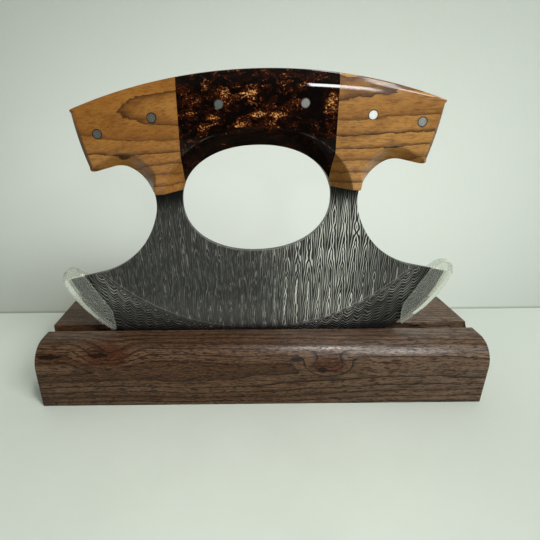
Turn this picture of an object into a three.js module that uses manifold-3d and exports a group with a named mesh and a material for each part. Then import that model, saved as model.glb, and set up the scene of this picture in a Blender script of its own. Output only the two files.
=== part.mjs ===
// An ulu knife standing in its walnut display stand, in millimetres with +Z up.
// The origin is the centre of the stand's base, +X runs along the stand and -Y faces the front.
// The knife is one steel plate with a finger hole. Scales are pinned to both faces of its arched
// grip, and a clear guard is pushed over each tip of the blade.

import * as THREE from 'three';
import { mergeVertices } from 'three/addons/utils/BufferGeometryUtils.js';
import Module from 'manifold-3d';

const wasm = await Module();
wasm.setup();

// Stand: a block with rounded long edges and a slot through both ends
const standLength = 228.6;
const standDepth = 68;
const standHeight = 33.5;
const standRound = 11.9;
const slotClearance = 0.575;
const slotSetback = 19.6;
const slotDepth = 21.9;

// Blade plate: heights are counted from the lowest point of the cutting edge
const bladeThickness = 3;
const edgeThickness = 0.4;
const edgeSwell = 1.4;
const tipOut = 96.7;
const tipHeight = 52.2;
const grindRadius = 109.8;
const grindWidth = 22.4;
const grindOverrunAngle = THREE.MathUtils.degToRad(5);

// Notch between horn and blade: a small arc that runs into a larger one, then the straight shoulder
const notchOut = 68.3;
const notchHeight = 90.7;
const notchRadius = 20.35;
const throatRadius = 41.2;
const notchLeanAngle = THREE.MathUtils.degToRad(14.2);
const notchBlendAngle = THREE.MathUtils.degToRad(125.9);

// Finger hole: a slightly squared ellipse
const holeHeight = 90.9;
const holeHalfLength = 35.4;
const holeHalfHeight = 25.3;
const holePower = 2.15;

// Grip outline: a flat arch with bowed ends and a heel under each horn
const apexHeight = 146.2;
const topRadius = 234;
const cornerOut = 78.6;
const cornerRound = 2;
const heelOut = 73.5;
const heelHeight = 106.6;
const heelRound = 2.5;
const endBow = 0.8;
const underAngle = THREE.MathUtils.degToRad(13.5);

// Scales: wood at both ends and cast resin between them, on the front and on the rear
const gripThickness = 24;
const glueGap = 0.15;
const seamOut = 33.4;
const seamGap = 0.15;
const footInnerHeight = 96.5;
const footOuterHeight = 94.8;
const holeChamfer = 8;
const holeLand = 0.6;
const notchRoundWidth = 5.5;
const notchRoundDepth = 7;
const topBevel = 5.5;
const faceBevelDepth = 2;
const endBevel = 1.5;

// Pins: places as shares of the grip's half length and of the band over the hole
const pinDiameter = 4;
const pinClearance = 0.15;
const pinOutShares = [-0.864, -0.564, -0.205, 0.251, 0.612, 0.878];
const pinDropShares = [0.447, 0.447, 0.42, 0.423, 0.457, 0.383];
const pinNames = ['left_outer_pin', 'left_inner_pin', 'centre_left_pin',
  'centre_right_pin', 'right_inner_pin', 'right_outer_pin'];

// Tip guards: clear channels that follow the edge and wrap over each tip
const guardWall = 0.8;
const guardClearance = 0.3;
const guardTipReach = 3.3;
const guardFootReach = 1.8;
const guardNoseRise = 5.7;
const guardNoseSetback = 1;
const guardTopRun = 8.6;
const guardKneeRun = 20;
const guardKneeDrop = 18.2;
const guardFootRun = 20.6;
const guardFootDrop = 28.6;

// Knife in the stand: slightly off centre and not quite level, as it settles
const knifeShift = -1.03;
const knifeRollAngle = THREE.MathUtils.degToRad(0.85);
const restGap = 0.3;

// Fineness and the overrun of cuts
const overrun = 1;
const arcSteps = 8;
const holeSteps = 64;
const roundSteps = 5;
const pinSteps = 24;

// Sizes that follow from the ones above
const cornerHeight = apexHeight - topRadius + Math.sqrt(topRadius ** 2 - cornerOut ** 2);
const edgeHalfWidth = tipOut + edgeSwell;
const tipShare = Math.sqrt(1 - (tipOut / edgeHalfWidth) ** 2);
const edgeHalfHeight = tipHeight / (1 - tipShare);
const tipAngle = -Math.asin(tipShare);
const farOut = edgeHalfWidth + grindWidth;
const gripHalf = gripThickness / 2;
const guardHollow = bladeThickness + 2 * guardClearance;
const guardThickness = guardHollow + 2 * guardWall;
const slotWidth = guardThickness + 2 * slotClearance;
const scaleBase = bladeThickness / 2 + glueGap;
const throatCentre = new THREE.Vector2(Math.cos(notchLeanAngle), Math.sin(notchLeanAngle))
  .multiplyScalar(throatRadius - notchRadius)
  .add(new THREE.Vector2(notchOut, notchHeight));
const heel = new THREE.Vector2(heelOut, heelHeight);
const tipFromThroat = new THREE.Vector2(tipOut, tipHeight).sub(throatCentre);
const shoulderAngle = tipFromThroat.angle() - Math.acos(throatRadius / tipFromThroat.length());

// A closed mesh as a solid for joining and cutting
function toSolid(geometry) {
  const bare = geometry.clone();
  bare.deleteAttribute('normal');
  bare.deleteAttribute('uv');
  const merged = mergeVertices(bare);
  return new wasm.Manifold(new wasm.Mesh({
    numProp: 3,
    vertProperties: Float32Array.from(merged.attributes.position.array),
    triVerts: Uint32Array.from(merged.index.array),
  }));
}

function toGeometry(solid) {
  const mesh = solid.getMesh();
  const geometry = new THREE.BufferGeometry();
  geometry.setAttribute('position', new THREE.BufferAttribute(mesh.vertProperties, 3));
  geometry.setIndex(new THREE.BufferAttribute(mesh.triVerts, 1));
  geometry.computeVertexNormals();
  return geometry;
}

// A solid through flat loops of equal count, each at its own distance from the knife's mid plane
function loft(levels) {
  const count = levels[0].points.length;
  const positions = [];
  const faces = [];
  for (const level of levels) {
    for (const point of level.points) positions.push(point.x, point.y, level.at);
  }
  for (let level = 0; level < levels.length - 1; level += 1) {
    for (let i = 0; i < count; i += 1) {
      const next = (i + 1) % count;
      const low = level * count;
      const high = low + count;
      faces.push(low + i, low + next, high + next, low + i, high + next, high + i);
    }
  }
  const last = (levels.length - 1) * count;
  for (const [a, b, c] of THREE.ShapeUtils.triangulateShape(levels[0].points, [])) {
    faces.push(a, c, b);
  }
  for (const [a, b, c] of THREE.ShapeUtils.triangulateShape(levels.at(-1).points, [])) {
    faces.push(last + a, last + b, last + c);
  }
  const geometry = new THREE.BufferGeometry();
  geometry.setAttribute('position', new THREE.Float32BufferAttribute(positions, 3));
  geometry.setIndex(faces);
  return toSolid(geometry);
}

// A plate with its mid plane on the knife's mid plane
function plate(shape, thickness) {
  const geometry = new THREE.ExtrudeGeometry(shape, { depth: thickness, bevelEnabled: false });
  geometry.translate(0, 0, -thickness / 2);
  return toSolid(geometry);
}

function mirrored(points) {
  return points.map((point) => new THREE.Vector2(-point.x, point.y)).reverse();
}

// The arch over the grip; on the face its bevel lowers the middle and leaves the corners
function arch(facet) {
  const rise = apexHeight - topBevel * facet - cornerHeight;
  const radius = (cornerOut ** 2 + rise ** 2) / (2 * rise);
  return { radius, centreHeight: cornerHeight + rise - radius };
}

function archPoint(out, facet) {
  const { radius, centreHeight } = arch(facet);
  return new THREE.Vector2(out, centreHeight + Math.sqrt(radius ** 2 - out ** 2));
}

// The right end of the grip from the arch down to the horn's underside, with rounded corners
function gripEnd(facet) {
  const inset = endBevel * facet;
  const start = archPoint(cornerOut - inset, facet);
  const finish = heel.clone().setX(heelOut - inset);
  const middle = start.clone().lerp(finish, 0.5);
  const side = new THREE.QuadraticBezierCurve(
    start, middle.setX(middle.x + 2 * endBow), finish);
  const length = start.distanceTo(finish);
  const cornerShare = cornerRound / length;
  const heelShare = heelRound / length;
  const underside = new THREE.Vector2(
    finish.x - heelRound * Math.cos(underAngle), heelHeight + heelRound * Math.sin(underAngle));
  const cornerCurve = new THREE.QuadraticBezierCurve(
    archPoint(start.x - cornerRound, facet), start, side.getPoint(cornerShare));
  const heelCurve = new THREE.QuadraticBezierCurve(
    side.getPoint(1 - heelShare), finish, underside);
  const points = cornerCurve.getPoints(roundSteps);
  for (let i = 1; i < arcSteps; i += 1) {
    points.push(side.getPoint(cornerShare + (1 - cornerShare - heelShare) * i / arcSteps));
  }
  return [...points, ...heelCurve.getPoints(roundSteps)];
}

// The arch from the right end's first point to its mirror image
function archPoints(facet) {
  const { radius, centreHeight } = arch(facet);
  const startAngle = Math.acos((cornerOut - endBevel * facet - cornerRound) / radius);
  const path = new THREE.Path();
  path.absarc(0, centreHeight, radius, startAngle, Math.PI - startAngle, false);
  return path.getPoints(2 * arcSteps).slice(1, -1);
}

// The right notch from the horn's underside round to the shoulder, grown into the steel or wood
function notchPoints(grow) {
  const outward = new THREE.Vector2(Math.cos(underAngle), -Math.sin(underAngle));
  const upward = new THREE.Vector2(Math.sin(underAngle), Math.cos(underAngle));
  const underside = heel.clone().addScaledVector(upward, grow);
  const upper = new THREE.Vector2(Math.cos(notchBlendAngle), Math.sin(notchBlendAngle))
    .multiplyScalar(notchRadius + grow)
    .add(new THREE.Vector2(notchOut, notchHeight));
  const tangent = new THREE.Vector2(Math.sin(notchBlendAngle), -Math.cos(notchBlendAngle));
  const reach = underside.sub(upper).cross(outward) / tangent.cross(outward);
  const control = upper.clone().addScaledVector(tangent, reach);
  const blendStart = control.clone().addScaledVector(outward, reach);
  const path = new THREE.Path();
  path.moveTo(blendStart.x, blendStart.y);
  path.quadraticCurveTo(control.x, control.y, upper.x, upper.y);
  path.absarc(notchOut, notchHeight, notchRadius + grow,
    notchBlendAngle, Math.PI + notchLeanAngle, false);
  const throat = new THREE.Path();
  throat.absarc(throatCentre.x, throatCentre.y, throatRadius + grow,
    Math.PI + notchLeanAngle, shoulderAngle, false);
  return [...path.getPoints(arcSteps), ...throat.getPoints(arcSteps).slice(1)];
}

// A point of the cutting edge, at an angle of its ellipse, moved outward by an offset
function edgePoint(angle, offset) {
  const normal = new THREE.Vector2(
    Math.cos(angle) / edgeHalfWidth, Math.sin(angle) / edgeHalfHeight).normalize();
  return new THREE.Vector2(
    edgeHalfWidth * Math.cos(angle), edgeHalfHeight * (1 + Math.sin(angle)))
    .addScaledVector(normal, offset);
}

// The finger hole's outline, grown into the steel or wood
function holePoints(grow) {
  const points = [];
  for (let i = 0; i < holeSteps; i += 1) {
    const angle = 2 * Math.PI * i / holeSteps;
    const x = Math.sign(Math.cos(angle)) * Math.abs(Math.cos(angle)) ** (2 / holePower);
    const y = Math.sign(Math.sin(angle)) * Math.abs(Math.sin(angle)) ** (2 / holePower);
    points.push(new THREE.Vector2(
      (holeHalfLength + grow) * x, holeHeight + (holeHalfHeight + grow) * y));
  }
  return points;
}

const pinPlaces = pinNames.map((name, i) => {
  const place = archPoint(cornerOut * pinOutShares[i], 0);
  place.y -= (apexHeight - holeHeight - holeHalfHeight) * pinDropShares[i];
  return { name, place };
});

// A rod square to the blade at a pin's place
function pinGeometry({ place }, radius, length) {
  const geometry = new THREE.CylinderGeometry(radius, radius, length, pinSteps);
  geometry.rotateX(Math.PI / 2);
  geometry.translate(place.x, place.y, 0);
  return geometry;
}

function drilled(solid) {
  let result = solid;
  for (const pin of pinPlaces) {
    result = result.subtract(
      toSolid(pinGeometry(pin, pinDiameter / 2 + pinClearance, gripThickness + 2 * overrun)));
  }
  return result;
}

// Where a ray from the grind line's centre meets the cutting edge
function edgeAlong(ray, height) {
  const rise = height - edgeHalfHeight;
  const a = (ray.x / edgeHalfWidth) ** 2 + (ray.y / edgeHalfHeight) ** 2;
  const b = 2 * rise * ray.y / edgeHalfHeight ** 2;
  const c = (rise / edgeHalfHeight) ** 2 - 1;
  const reach = (-b + Math.sqrt(b ** 2 - 4 * a * c)) / (2 * a);
  return ray.clone().multiplyScalar(reach).add(new THREE.Vector2(0, height));
}

// Blade: the whole outline as one plate, ground thin from the grind line down to the edge
function bladeSolid() {
  const right = [...gripEnd(0), ...notchPoints(0)];
  const edge = [];
  for (let i = 0; i <= 6 * arcSteps; i += 1) {
    const share = i / (6 * arcSteps);
    edge.push(edgePoint(tipAngle * (1 - share) + (-Math.PI - tipAngle) * share, 0));
  }
  const shape = new THREE.Shape(
    [...right, ...edge, ...mirrored(right), ...archPoints(0).reverse()]);
  shape.holes.push(new THREE.Path(holePoints(0)));
  const blank = plate(shape, bladeThickness);
  const grindCentre = grindWidth + grindRadius;
  const sweepAngle = Math.atan2(tipOut, grindCentre - tipHeight) + grindOverrunAngle;
  const grindLine = [];
  const edgeLine = [];
  for (let i = 0; i <= 4 * arcSteps; i += 1) {
    const angle = sweepAngle * (i / (2 * arcSteps) - 1);
    const ray = new THREE.Vector2(Math.sin(angle), -Math.cos(angle));
    grindLine.push(ray.clone().multiplyScalar(grindRadius).add(new THREE.Vector2(0, grindCentre)));
    edgeLine.push(edgeAlong(ray, grindCentre));
  }
  const closed = (line) => [...line,
    new THREE.Vector2(farOut, line.at(-1).y),
    new THREE.Vector2(farOut, apexHeight + overrun),
    new THREE.Vector2(-farOut, apexHeight + overrun),
    new THREE.Vector2(-farOut, line[0].y)];
  const ground = loft([
    { at: -bladeThickness / 2 - overrun, points: closed(grindLine) },
    { at: -bladeThickness / 2, points: closed(grindLine) },
    { at: -edgeThickness / 2, points: closed(edgeLine) },
    { at: edgeThickness / 2, points: closed(edgeLine) },
    { at: bladeThickness / 2, points: closed(grindLine) },
    { at: bladeThickness / 2 + overrun, points: closed(grindLine) },
  ]);
  return drilled(blank.intersect(ground));
}

// Scales: a blank over the whole grip, bevelled at the arch and the ends, then chamfered round
// the finger hole and rounded along the notches
function gripLoop(facet) {
  const end = gripEnd(facet);
  const footSlope = (footInnerHeight - footOuterHeight) / (notchOut - notchRadius - holeHalfLength);
  const footEnd = footInnerHeight - footSlope * (notchOut - holeHalfLength);
  const feet = [
    new THREE.Vector2(-notchOut, footEnd),
    new THREE.Vector2(-holeHalfLength + overrun, footInnerHeight),
    new THREE.Vector2(holeHalfLength - overrun, footInnerHeight),
    new THREE.Vector2(notchOut, footEnd),
  ];
  return [...archPoints(facet), ...mirrored(end).reverse(), ...feet, ...end.reverse()];
}

// The open space of the right notch as a closed loop that runs out past the knife
function notchLoop(grow) {
  const line = notchPoints(grow);
  const mouth = farOut - line[0].x;
  return [...line,
    new THREE.Vector2(farOut, line.at(-1).y),
    new THREE.Vector2(farOut, line[0].y - mouth * Math.tan(underAngle))];
}

// Levels are given outward from the mid plane; the rear side has them mirrored
function sidedLoft(levels, side) {
  if (side > 0) return loft(levels);
  return loft(levels.map(({ at, points }) => ({ at: -at, points })).reverse());
}

function scaleSolid(side) {
  const blank = sidedLoft([
    { at: scaleBase, points: gripLoop(0) },
    { at: gripHalf - faceBevelDepth, points: gripLoop(0) },
    { at: gripHalf, points: gripLoop(1) },
  ], side);
  const landTop = scaleBase + holeLand;
  const chamferRate = holeChamfer / (gripHalf - landTop);
  const hole = sidedLoft([
    { at: scaleBase - overrun, points: holePoints(0) },
    { at: landTop, points: holePoints(0) },
    { at: gripHalf + overrun, points: holePoints(holeChamfer + chamferRate * overrun) },
  ], side);
  const notchLevels = [{ at: scaleBase - overrun, points: notchLoop(0) }];
  for (let i = 0; i <= roundSteps; i += 1) {
    const angle = Math.PI / 2 * i / roundSteps;
    notchLevels.push({
      at: gripHalf - notchRoundDepth * (1 - Math.sin(angle)),
      points: notchLoop(notchRoundWidth * (1 - Math.cos(angle))),
    });
  }
  notchLevels.push({ at: gripHalf + overrun, points: notchLoop(notchRoundWidth) });
  const leftLevels = notchLevels.map(({ at, points }) => ({ at, points: mirrored(points) }));
  return drilled(blank.subtract(hole)
    .subtract(sidedLoft(notchLevels, side))
    .subtract(sidedLoft(leftLevels, side)));
}

// A stretch of the grip between two seams, from the mid plane out past one face
function seamBlock(from, to, side) {
  const height = apexHeight + 2 * overrun;
  const depth = gripHalf + overrun;
  const geometry = new THREE.BoxGeometry(to - from, height, depth);
  geometry.translate((from + to) / 2, height / 2 - overrun, side * depth / 2);
  return toSolid(geometry);
}

// The blade's straight shoulder line, drawn on past its ends
function shoulderHeight(out) {
  return tipHeight + (out - tipOut) * Math.tan(shoulderAngle + Math.PI / 2);
}

// Tip guard: a channel outside the edge with a nose over the tip, hollowed to fit the blade
function guardSolid() {
  const foot = new THREE.Vector2(tipOut - guardFootRun, tipHeight - guardFootDrop);
  const footAngle = Math.asin(foot.y / edgeHalfHeight - 1);
  const knee = new THREE.Vector2(tipOut - guardKneeRun, tipHeight - guardKneeDrop);
  const outer = [];
  for (let i = 0; i <= arcSteps; i += 1) {
    const share = i / arcSteps;
    outer.push(edgePoint(tipAngle * (1 - share) + footAngle * share,
      guardTipReach * (1 - share) + guardFootReach * share));
  }
  const shoulder = new THREE.Vector2(tipOut - guardTopRun, shoulderHeight(tipOut - guardTopRun));
  const nose = new THREE.Vector2(tipOut - guardNoseSetback, tipHeight + guardNoseRise);
  const path = new THREE.Path();
  path.moveTo(shoulder.x, shoulder.y);
  path.quadraticCurveTo((shoulder.x + nose.x) / 2, nose.y, nose.x, nose.y);
  path.quadraticCurveTo(outer[0].x, nose.y, outer[0].x, outer[0].y);
  const shape = new THREE.Shape([...path.getPoints(arcSteps), ...outer.slice(1), foot, knee]);
  const hollowPoints = [new THREE.Vector2(0, shoulderHeight(0) + guardClearance)];
  for (let i = 0; i <= 2 * arcSteps; i += 1) {
    const share = i / (2 * arcSteps);
    hollowPoints.push(edgePoint(tipAngle * (1 - share) - Math.PI / 2 * share, guardClearance));
  }
  const tipClear = hollowPoints[1].x;
  hollowPoints.splice(1, 0, new THREE.Vector2(tipClear, shoulderHeight(tipClear) + guardClearance));
  return plate(shape, guardThickness)
    .subtract(plate(new THREE.Shape(hollowPoints), guardHollow));
}

// Stand: its end profile, drawn with the depth across, stretched along its length
function standSolid() {
  const half = standDepth / 2;
  const slotFront = slotSetback - half;
  const path = new THREE.Path();
  path.moveTo(-half, 0);
  path.lineTo(-half, standHeight - standRound);
  path.absarc(standRound - half, standHeight - standRound, standRound, Math.PI, Math.PI / 2, true);
  path.lineTo(slotFront, standHeight);
  path.lineTo(slotFront, standHeight - slotDepth);
  path.lineTo(slotFront + slotWidth, standHeight - slotDepth);
  path.lineTo(slotFront + slotWidth, standHeight);
  path.absarc(half - standRound, standHeight - standRound, standRound, Math.PI / 2, 0, true);
  path.lineTo(half, 0);
  return plate(new THREE.Shape(path.getPoints(arcSteps)), standLength);
}

// Materials
const walnut = new THREE.MeshStandardMaterial({ color: 0x4a3829, roughness: 0.5, metalness: 0 });
const steel = new THREE.MeshStandardMaterial({ color: 0x55565a, roughness: 0.4, metalness: 0.9 });
const oak = new THREE.MeshStandardMaterial({ color: 0xa87a42, roughness: 0.35, metalness: 0 });
const resin = new THREE.MeshStandardMaterial({ color: 0x3b1c0d, roughness: 0.15, metalness: 0 });
const pinSteel = new THREE.MeshStandardMaterial({ color: 0x9a9c9c, roughness: 0.35, metalness: 1 });
const clear = new THREE.MeshStandardMaterial(
  { color: 0xd5d8cc, roughness: 0.25, metalness: 0, transparent: true, opacity: 0.5 });

function named(name, solid, material) {
  const mesh = new THREE.Mesh(toGeometry(solid), material);
  mesh.name = name;
  return mesh;
}

const part = new THREE.Group();

const stand = named('stand_block', standSolid(), walnut);
stand.geometry.applyMatrix4(new THREE.Matrix4().makeBasis(
  new THREE.Vector3(0, 1, 0), new THREE.Vector3(0, 0, 1), new THREE.Vector3(1, 0, 0)));
part.add(stand);

const knife = new THREE.Group();
knife.position.set(knifeShift,
  slotSetback + slotWidth / 2 - standDepth / 2, standHeight - slotDepth + restGap);
knife.rotation.set(Math.PI / 2, 0, knifeRollAngle);
part.add(knife);
knife.add(named('blade', bladeSolid(), steel));

const sections = [
  { name: 'left', from: -cornerOut - overrun, to: -seamOut - seamGap / 2, material: oak },
  { name: 'centre', from: -seamOut + seamGap / 2, to: seamOut - seamGap / 2, material: resin },
  { name: 'right', from: seamOut + seamGap / 2, to: cornerOut + overrun, material: oak },
];
for (const [sideName, side] of [['front', 1], ['rear', -1]]) {
  const scale = scaleSolid(side);
  for (const { name, from, to, material } of sections) {
    knife.add(named(`${name}_${sideName}_scale`, scale.intersect(seamBlock(from, to, side)), material));
  }
}

for (const pin of pinPlaces) {
  knife.add(named(pin.name, toSolid(pinGeometry(pin, pinDiameter / 2, gripThickness)), pinSteel));
}

const guard = guardSolid();
knife.add(named('right_tip_guard', guard, clear));
const leftGuard = named('left_tip_guard', guard, clear);
leftGuard.rotation.y = Math.PI;
knife.add(leftGuard);

export default part;
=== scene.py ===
import math

import bmesh
import bpy
import numpy as np
from mathutils import Matrix, Vector


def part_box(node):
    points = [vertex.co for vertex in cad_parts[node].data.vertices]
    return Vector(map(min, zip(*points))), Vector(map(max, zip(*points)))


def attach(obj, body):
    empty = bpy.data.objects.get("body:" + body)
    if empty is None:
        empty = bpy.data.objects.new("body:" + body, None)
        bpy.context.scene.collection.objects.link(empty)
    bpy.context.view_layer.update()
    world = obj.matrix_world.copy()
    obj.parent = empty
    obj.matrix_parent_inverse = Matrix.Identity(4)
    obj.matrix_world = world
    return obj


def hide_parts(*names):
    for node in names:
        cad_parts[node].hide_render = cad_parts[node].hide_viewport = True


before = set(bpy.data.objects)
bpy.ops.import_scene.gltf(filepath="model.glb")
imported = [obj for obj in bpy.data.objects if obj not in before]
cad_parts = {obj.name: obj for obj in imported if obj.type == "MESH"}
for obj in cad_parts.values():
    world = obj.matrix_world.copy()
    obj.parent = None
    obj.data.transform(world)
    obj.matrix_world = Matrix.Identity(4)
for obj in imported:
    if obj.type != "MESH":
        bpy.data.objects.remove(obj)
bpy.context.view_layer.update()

# Camera
# The photograph is a hand-held one from just above the knife: pitched down, rolled a little, and
# framed so that the middle of the lens is left of the picture's middle.
photo_width = 540
focal_pixels = 384
lens_middle_pixel = 236.8
sensor_width = 36
camera_place = Vector((-0.0123, -0.1954, 0.1389))
camera_pitch = math.radians(21.43)
camera_roll = math.radians(-0.57)

camera_data = bpy.data.cameras.new("camera")
camera_data.sensor_width = sensor_width
camera_data.lens = sensor_width * focal_pixels / photo_width
camera_data.shift_x = 0.5 - lens_middle_pixel / photo_width
camera_data.clip_start = 0.01
camera = bpy.data.objects.new("camera", camera_data)
camera.matrix_world = (Matrix.Translation(camera_place)
                       @ Matrix.Rotation(math.pi / 2 - camera_pitch, 4, "X")
                       @ Matrix.Rotation(camera_roll, 4, "Z"))
bpy.context.scene.collection.objects.link(camera)
bpy.context.scene.camera = camera
bpy.context.scene.view_settings.view_transform = "Standard"

# Light
# Four soft lamps, all to the right of the camera or above it: a large one that throws the knife's
# shadow to the left, a window further along that glints in the polish, and two on the ceiling.
# The room itself is dim, and darkest in front of the knife and to the left.
lamps = [("key", (0.87, -0.84, 1.01), (0.60, 0.60), 13.8, (1.0, 1.0, 0.97)),
         ("window", (0.335, -1.13, 0.42), (0.22, 0.13), 2.2, (0.97, 1.0, 1.0)),
         ("ceiling", (0.35, -0.43, 1.12), (0.14, 0.14), 4.0, (1.0, 0.99, 0.95)),
         ("room_lamp", (0.10, -0.20, 1.60), (0.80, 0.80), 2.2, (1.0, 0.97, 0.90))]
light_target = Vector((0, 0, 0.08))
room_bright = (0.21, 0.21, 0.195, 1)
room_dark = (0.022, 0.022, 0.020, 1)
bright_side = (0.62, 0.25, 0.74)


def soft_lamp(name, place, size, power, colour):
    """An area lamp at a place, so wide and so high, turned to face the knife."""
    place = Vector(place)
    data = bpy.data.lights.new(name, "AREA")
    data.shape = "RECTANGLE"
    data.size, data.size_y = size
    data.energy = power
    data.color = colour
    lamp = bpy.data.objects.new(name, data)
    lamp.matrix_world = (Matrix.Translation(place)
                         @ (light_target - place).to_track_quat("-Z", "Y").to_matrix().to_4x4())
    bpy.context.scene.collection.objects.link(lamp)


def feed(target, inputs):
    """A node's inputs set to plain values, or joined to the sockets that give them."""
    for key, value in inputs.items():
        value = getattr(value, "socket", value)
        if isinstance(value, bpy.types.NodeSocket):
            target.id_data.links.new(value, target.inputs[key])
        else:
            target.inputs[key].default_value = value


def node(tree, kind, inputs=None, **settings):
    """A shader node of one kind, with its settings and its inputs."""
    made = tree.nodes.new("ShaderNode" + kind)
    for name, value in settings.items():
        setattr(made, name, value)
    feed(made, inputs or {})
    return made


def tree_of(*values):
    """The node tree that holds the first socket among some values."""
    sockets = (getattr(value, "socket", value) for value in values)
    return next(found.id_data for found in sockets if isinstance(found, bpy.types.NodeSocket))


def calc(operation, *values):
    """The result of a Math node on numbers, one of which at least varies over the surface."""
    made = node(tree_of(*values), "Math", dict(enumerate(values)), operation=operation)
    return Value(made.outputs[0])


class Value:
    """A number that varies over a surface. Each sum, product or power of it is a Math node."""

    def __init__(self, socket):
        self.socket = socket

    def __add__(self, other):
        return calc("ADD", self, other)

    def __sub__(self, other):
        return calc("SUBTRACT", self, other)

    def __rsub__(self, other):
        return calc("SUBTRACT", other, self)

    def __mul__(self, other):
        return calc("MULTIPLY", self, other)

    def __truediv__(self, other):
        return calc("DIVIDE", self, other)

    def __pow__(self, other):
        return calc("POWER", self, other)

    def __abs__(self):
        return calc("ABSOLUTE", self)


def ease(value, low, high, out_low=0.0, out_high=1.0):
    """A value eased from one range to another, level beyond both ends."""
    return Value(node(tree_of(value), "MapRange", {
        "Value": value, "From Min": low, "From Max": high, "To Min": out_low,
        "To Max": out_high}, interpolation_type="SMOOTHSTEP").outputs[0])


def blend(share, first, second, kind="MIX"):
    """Two colours mixed by a share, from the first at 0 to the second at 1."""
    return node(tree_of(share), "Mix", {0: share, 6: first, 7: second}, data_type="RGBA",
                blend_type=kind).outputs[2]


def vector_math(operation, inputs, output="Vector"):
    """The result of a Vector Math node, of which the first input varies over the surface."""
    return node(inputs[0].id_data, "VectorMath", inputs, operation=operation).outputs[output]


for lamp in lamps:
    soft_lamp(*lamp)
room = bpy.data.worlds.new("room")
room.use_nodes = True
outlook = node(room.node_tree, "TexCoord").outputs["Generated"]
towards = Value(vector_math("DOT_PRODUCT", {0: outlook, 1: bright_side}, "Value"))
feed(room.node_tree.nodes["Background"],
     {"Color": blend(ease(towards, -0.3, 0.9), room_dark, room_bright)})
bpy.context.scene.world = room

# Table and wall
# The stand rests on a pale painted table, and a pale wall rises a hand's width behind it. The
# wall shows from its front only, so that the knife can be looked at from behind as well.
table_half = 3.0
wall_place = 0.0712
wall_height = 3.0
paint = (0.648, 0.70, 0.642, 1)
paint_worn = (0.603, 0.655, 0.595, 1)
# Painted shade for the table at the sides of the stand:
table_painted_shade = (0.53, 0.575, 0.53, 1)
# The wall's own glow is painted light: dim on the left, fair on the right, a painted glow behind
# the knife, a painted shadow low on the left and a darker line along its foot.
wall_painted_light_share = 0.62
wall_dim = (0.15, 0.175, 0.145, 1)
wall_fair = (0.29, 0.325, 0.28, 1)
wall_painted_glow = (0.92, 0.985, 0.89, 1)
wall_painted_shadow = (0.20, 0.20, 0.16, 1)
wall_glow_place = (0.015, 0.0712, 0.085)
wall_glow_reach = (0.37, 1, 0.22)
wall_painted_shadow_place = (-0.115, 0.0712, -0.015)
wall_painted_shadow_reach = (0.17, 1, 0.09)
seam_line = 0.0022
seam_dark = (0.40, 0.40, 0.33, 1)


def noise(vector, scale, detail=3, roughness=0.5, distortion=0):
    """A noise texture's value over a vector."""
    return Value(node(vector.id_data, "TexNoise", {
        "Vector": vector, "Scale": scale, "Detail": detail, "Roughness": roughness,
        "Distortion": distortion}).outputs[0])


def layered(colour, layers):
    """A colour with others laid over it, each by its own share."""
    for share, over in layers:
        colour = blend(share, colour, over)
    return colour


def bump(height, strength, distance):
    """The normal of a surface that a height roughens, the distance in metres."""
    return node(tree_of(height), "Bump", {"Height": height, "Strength": strength,
                                          "Distance": distance}).outputs[0]


def split(vector):
    """The three parts of a vector."""
    return [Value(part) for part in node(vector.id_data, "SeparateXYZ", {0: vector}).outputs]


def length_of(vector):
    """The length of a vector."""
    return Value(vector_math("LENGTH", {0: vector}, "Value"))


def own_axes(vector, middle, turn=(0, 0, 0), size=(1, 1, 1)):
    """A place as it is seen from axes with a middle, a turn and a size of their own."""
    return node(vector.id_data, "Mapping", {"Vector": vector, "Location": middle,
                                            "Rotation": turn, "Scale": size},
                vector_type="TEXTURE").outputs[0]


def new_material(name):
    """An empty node material: its tree, its Principled shader and itself."""
    material = bpy.data.materials.new(name)
    material.use_nodes = True
    tree = material.node_tree
    return tree, tree.nodes["Principled BSDF"], material


def object_position(tree):
    """The surface's own position, in metres."""
    return node(tree, "TexCoord").outputs["Object"]


def new_object(name, points, faces, material):
    """A mesh object at the origin from points in metres and faces as lists of indices."""
    mesh = bpy.data.meshes.new(name)
    mesh.from_pydata(np.asarray(points).tolist(), [], faces)
    mesh.validate()
    mesh.materials.append(material)
    made = bpy.data.objects.new(name, mesh)
    bpy.context.scene.collection.objects.link(made)
    return made


def paint_nodes(tree, shader):
    """Wall paint, slightly mottled and matt. Returns its colour."""
    place = object_position(tree)
    colour = blend(ease(noise(place, 9, 5, 0.6), 0.42, 0.75), paint, paint_worn)
    feed(shader, {"Base Color": colour, "Roughness": 0.75,
                  "Normal": bump(noise(place, 400, 2), 0.08, 0.001)})
    return colour


def table_material():
    """The painted table, with painted shade at both sides of the stand, deepest on the right."""
    tree, shader, material = new_material("table_paint")
    colour = paint_nodes(tree, shader)
    out = split(object_position(tree))[0]
    # Painted shade at both sides of the stand, deepest on the right.
    shade_share = calc("MAXIMUM", ease(out, 0.02, 0.13), ease(out, -0.03, -0.13, 0, 0.5))
    feed(shader, {"Base Color": blend(shade_share, colour, table_painted_shade)})
    return material


def near_spot(vector, middle, reach):
    """A soft mask that is 1 at a place and falls to 0 at a reach along each axis."""
    return ease(length_of(own_axes(vector, middle, size=reach)), 1, 0)


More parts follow.
